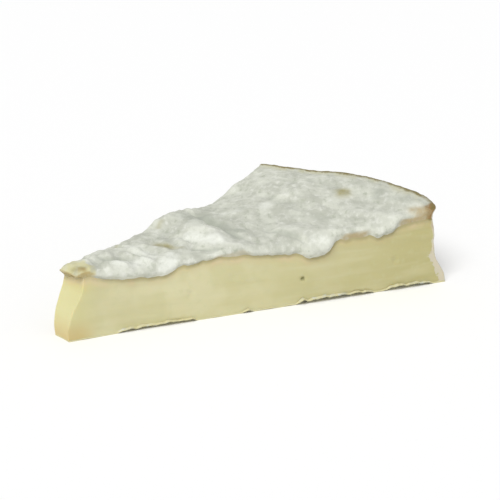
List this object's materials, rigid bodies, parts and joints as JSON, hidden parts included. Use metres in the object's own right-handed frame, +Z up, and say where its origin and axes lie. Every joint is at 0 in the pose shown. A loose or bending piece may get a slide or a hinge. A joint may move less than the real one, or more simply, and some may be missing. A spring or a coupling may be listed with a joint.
{
  "type": "cheese wedge",
  "caption": "Wedge of soft white-rind cheese cut from a flat round wheel, with a sagging, wrinkled rind on top and smooth ivory cut faces.",
  "frame": {"origin": "on the plane the wedge rests on, under the middle of its bounding box", "axes": "+Z up, +X from the nose, which was the middle of the wheel, towards the curved rim"},
  "size_m": [0.175, 0.114, 0.0375],
  "materials": {
    "soft_cheese": "soft, matt and slightly translucent: white mould rind outside, ivory paste on the cuts"
  },
  "bodies": {
    "root": {"cheese_wedge": "soft_cheese"}
  },
  "joints": []
}
